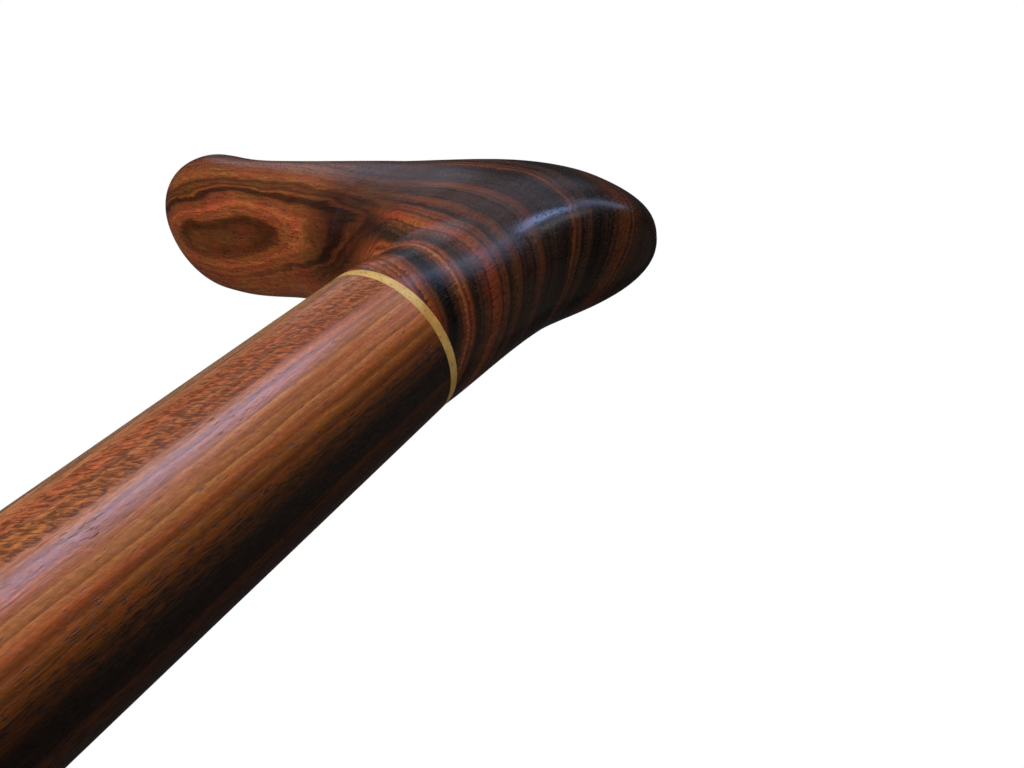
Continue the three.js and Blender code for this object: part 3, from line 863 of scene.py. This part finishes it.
# Natural rubber, moulded: dull near-black with a fine matt skin, greyed by wear on the tread
def ferruleRubber():
    f = ferrule
    material, shader, add = newMaterial("black rubber compression moulded")
    tree = material.node_tree
    place = add("ShaderNodeTexCoord").outputs["Object"]
    skin = add("ShaderNodeTexNoise", {"Vector": place, "Scale": 1800.0, "Detail": 3.0}).outputs["Fac"]
    patches = add("ShaderNodeTexNoise", {"Vector": place, "Scale": 120.0, "Detail": 4.0}).outputs["Fac"]
    height = add("ShaderNodeSeparateXYZ", {0: place}).outputs["Z"]
    nearGround = add("ShaderNodeMapRange", {
        "Value": height, 1: 0.0, 2: f["wornHeight"] * mm, 3: f["wornShare"], 4: 0.0,
    }).outputs[0]
    worn = add("ShaderNodeMath", {0: nearGround, 1: patches}, operation="MULTIPLY").outputs[0]
    tone = add("ShaderNodeValToRGB", {"Fac": patches}, stops=f["tones"]).outputs["Color"]
    colour = add("ShaderNodeMix", {0: worn, 6: tone, 7: linear(f["wornTone"])}, data_type="RGBA").outputs[2]
    smooth, dull = f["roughness"]
    rough = add("ShaderNodeMapRange", {"Value": skin, 1: 0.3, 2: 0.7, 3: smooth, 4: dull}).outputs[0]
    bump = add("ShaderNodeBump", {
        "Height": skin, "Strength": 0.3, "Distance": f["relief"] * mm,
    }).outputs[0]
    tree.links.new(colour, shader.inputs["Base Color"])
    tree.links.new(rough, shader.inputs["Roughness"])
    tree.links.new(bump, shader.inputs["Normal"])
    shader.inputs["IOR"].default_value = f["ior"]
    return material


gridPiece("moulded_ferrule", ferruleGrid(), ferruleRubber(), "rubber_ferrule")

# Washer between the shaft's end and the rubber: a disc with rounded edges, turned
washer = {
    "base": 8.1,
    "radius": 9.0,
    "thickness": 1.5,
    "ease": 0.3,
    "around": 96,
    "tint": ("#8d9094", "#a9acb0"),
}

# Stud: threaded rod that joins handle and shaft through the ring
stud = {
    "base": 815.7,
    "length": 77.8,
    "radius": 4.0,
    "pitch": 1.25,
    "threadDepth": 0.72,
    "chamfer": 1.0,
    "rowsPerTurn": 8,
    "around": 48,
    "tint": ("#8f9296", "#aeb1b4"),
}


# Steel, zinc plated and passivated: cool grey, finely mottled, not mirror bright
def platedSteel(name, tint):
    material, shader, add = newMaterial(name)
    tree = material.node_tree
    place = add("ShaderNodeTexCoord").outputs["Object"]
    mottle = add("ShaderNodeTexNoise", {"Vector": place, "Scale": 700.0, "Detail": 4.0}).outputs["Fac"]
    stops = list(zip((0.3, 0.7), tint))
    tone = add("ShaderNodeValToRGB", {"Fac": mottle}, stops=stops).outputs["Color"]
    rough = add("ShaderNodeMapRange", {"Value": mottle, 1: 0.3, 2: 0.7, 3: 0.3, 4: 0.45}).outputs[0]
    tree.links.new(tone, shader.inputs["Base Color"])
    tree.links.new(rough, shader.inputs["Roughness"])
    shader.inputs["Metallic"].default_value = 1.0
    return material


def washerGrid():
    w = washer
    e, r, top = w["ease"], w["radius"], w["thickness"]
    low, high = corner((r - e, e), e, -90, 0, 6), corner((r - e, top - e), e, 0, 90, 6)
    profile = [(0, 0), *low, *high, (0, top)]
    grid = turned(profile, w["around"])
    grid[..., 2] += w["base"]
    return grid


# Thread: radius falls from the crest by the depth times a rounded tooth of (height / pitch - turn),
# and by the distance to the nearer end inside the chamfers.
def studGrid():
    s = stud
    rows = int(s["length"] / s["pitch"] * s["rowsPerTurn"])
    height = np.linspace(0, s["length"], rows)[:, None]
    angle = np.linspace(0, 2 * np.pi, s["around"], endpoint=False)[None, :]
    tooth = 0.5 + 0.5 * np.cos(2 * np.pi * height / s["pitch"] - angle)
    radius = s["radius"] - s["threadDepth"] * tooth
    toEnd = np.minimum(height, s["length"] - height)
    radius = np.minimum(radius, s["radius"] - s["chamfer"] + toEnd)
    grid = np.stack([radius * np.cos(angle), radius * np.sin(angle), height + 0 * radius], -1)
    pole = np.zeros((1, s["around"], 3))
    grid = np.concatenate([pole, grid, pole + (0, 0, s["length"])])
    grid[..., 2] += s["base"]
    return grid


washerSteel = platedSteel("steel punched and zinc plated", washer["tint"])
gridPiece("steel_washer", washerGrid(), washerSteel, "ferrule_washer")
studSteel = platedSteel("steel rolled thread and zinc plated", stud["tint"])
gridPiece("threaded_stud", studGrid(), studSteel, "joining_stud")
print("pieces made")

# Soft light: a pale room that is brighter on the window side, and blue windows on that side.
# Places and lamp sizes are in metres; a lamp's azimuth and elevation are degrees seen from the target.
studio = {
    "target": (0.0, 0.0, 0.87),
    "floorSize": 40.0,
    "floorColour": "#ebe8e2",
    "floorSeen": 0.35,  # added for the camera alone
    "roomColour": "#e6eaf0",
    "roomLevel": 0.18,
    "roomGloss": 0.042,
    "windowSide": (-0.17, -0.97, 0.14),
    "windowSideLevel": 0.84,
    "windowSideGloss": 0.264,
    "windowSideFocus": 6.0,
    "lamps": [
        # name, azimuth, elevation, distance, width, height, level, colour
        ("tall_window", -86, 14, 2.0, 0.38, 1.3, 0.52, "#a6c2ff"),
        ("near_window", -71, 45, 2.0, 1.0, 0.36, 0.08, "#bcd2ff"),
        ("low_window", -66, 15, 2.0, 0.25, 0.6, 0.036, "#fff4ee"),
        ("high_window", -103, 45, 2.0, 0.7, 0.25, 0.012, "#d4e0ff"),
        ("thin_window", -126, 40, 2.0, 0.12, 1.9, 0.018, "#dfe6ff"),
        ("side_window", -152, 41, 2.0, 0.6, 0.7, 0.018, "#dfe6ff"),
        ("right_wall", 25, 25, 2.0, 2.0, 1.4, 0.022, "#ffe9d6"),
        ("soft_top", -30, 82, 2.0, 1.2, 1.2, 0.2, "#fff4ec"),
        ("soft_back", 150, 35, 2.0, 1.4, 1.4, 0.25, "#fff8f2"),
        ("low_reflector", -100, -36, 0.75, 0.64, 0.64, 0.5, "#fff6ee"),
    ],
}


# An area lamp of power P lights a facing surface at distance d to P / (pi * pi * d * d) of its own colour.
# The soft lamps only fill in: they and the floor stay out of the gloss, which keeps the oiled rims dark.
def makeLamp(name, azimuth, elevation, distance, width, height, level, colour):
    a, e = math.radians(azimuth), math.radians(elevation)
    away = Vector((math.cos(e) * math.cos(a), math.cos(e) * math.sin(a), math.sin(e)))
    data = bpy.data.lights.new(name, "AREA")
    data.shape = "RECTANGLE"
    data.size, data.size_y = width, height
    data.energy = level * (math.pi * distance) ** 2
    data.color = linear(colour)[:3]
    lamp = bpy.data.objects.new(name, data)
    lamp.location = Vector(studio["target"]) + away * distance
    lamp.rotation_euler = away.to_track_quat("Z", "Y").to_euler()
    lamp.visible_camera = False
    lamp.visible_glossy = not name.startswith("soft")
    bpy.context.scene.collection.objects.link(lamp)


for lamp in studio["lamps"]:
    makeLamp(*lamp)


# The camera sees the floor a step paler than the lamps make it, and the light that the floor throws
# on the cane stays plain.
def makeFloor():
    half = studio["floorSize"] / 2
    mesh = bpy.data.meshes.new("floor")
    corners = [(-half, -half, 0), (half, -half, 0), (half, half, 0), (-half, half, 0)]
    mesh.from_pydata(corners, [], [(0, 1, 2, 3)])
    material, shader, add = newMaterial("matt white floor paint rolled")
    place = add("ShaderNodeTexCoord").outputs["Object"]
    speckle = add("ShaderNodeTexNoise", {"Vector": place, "Scale": 400.0}).outputs["Fac"]
    rough = add("ShaderNodeMapRange", {"Value": speckle, 3: 0.8, 4: 0.95}).outputs[0]
    material.node_tree.links.new(rough, shader.inputs["Roughness"])
    shader.inputs["Base Color"].default_value = linear(studio["floorColour"])
    seen = add("ShaderNodeLightPath").outputs["Is Camera Ray"]
    lift = add("ShaderNodeMath", {0: seen, 1: studio["floorSeen"]}, operation="MULTIPLY").outputs[0]
    material.node_tree.links.new(lift, shader.inputs["Emission Strength"])
    shader.inputs["Emission Color"].default_value = linear(studio["floorColour"])
    mesh.materials.append(material)
    floor = bpy.data.objects.new("floor", mesh)
    bpy.context.scene.collection.objects.link(floor)
    floor.visible_glossy = False


makeFloor()


# White for what the camera sees directly or through glass, and the room for everything else.
# Gloss sees the room at a lower level: dark oiled wood would turn grey under the white,
# and no metal or glass shows.
def makeWorld():
    world = bpy.data.worlds.new("pale room")
    world.use_nodes = True
    bpy.context.scene.world = world
    tree = world.node_tree
    add = partial(addNode, tree)
    path = add("ShaderNodeLightPath").outputs
    seen = add("ShaderNodeMath", {
        0: path["Is Camera Ray"], 1: path["Is Transmission Ray"],
    }, operation="MAXIMUM").outputs[0]
    direction = add("ShaderNodeTexCoord").outputs["Generated"]
    toWindows = add("ShaderNodeVectorMath", {
        0: direction, 1: studio["windowSide"],
    }, operation="DOT_PRODUCT").outputs["Value"]
    facing = add("ShaderNodeMath", {0: toWindows, 1: 0.0}, operation="MAXIMUM").outputs[0]
    focus = add("ShaderNodeMath", {0: facing, 1: studio["windowSideFocus"]}, operation="POWER").outputs[0]
    wallLevel = add("ShaderNodeMapRange", {
        "Value": path["Is Glossy Ray"], 3: studio["windowSideLevel"], 4: studio["windowSideGloss"],
    }).outputs[0]
    roomLevel = add("ShaderNodeMapRange", {
        "Value": path["Is Glossy Ray"], 3: studio["roomLevel"], 4: studio["roomGloss"],
    }).outputs[0]
    strength = add("ShaderNodeMath", {
        0: focus, 1: wallLevel, 2: roomLevel,
    }, operation="MULTIPLY_ADD").outputs[0]
    white = add("ShaderNodeBackground", {"Color": (1, 1, 1, 1), "Strength": 1.0}).outputs[0]
    room = add("ShaderNodeBackground", {
        "Color": linear(studio["roomColour"]), "Strength": strength,
    }).outputs[0]
    both = add("ShaderNodeMixShader", {0: seen, 1: room, 2: white}).outputs[0]
    tree.links.new(both, tree.nodes["World Output"].inputs["Surface"])


makeWorld()
bpy.context.scene.view_settings.view_transform = "Standard"
print("studio lit")
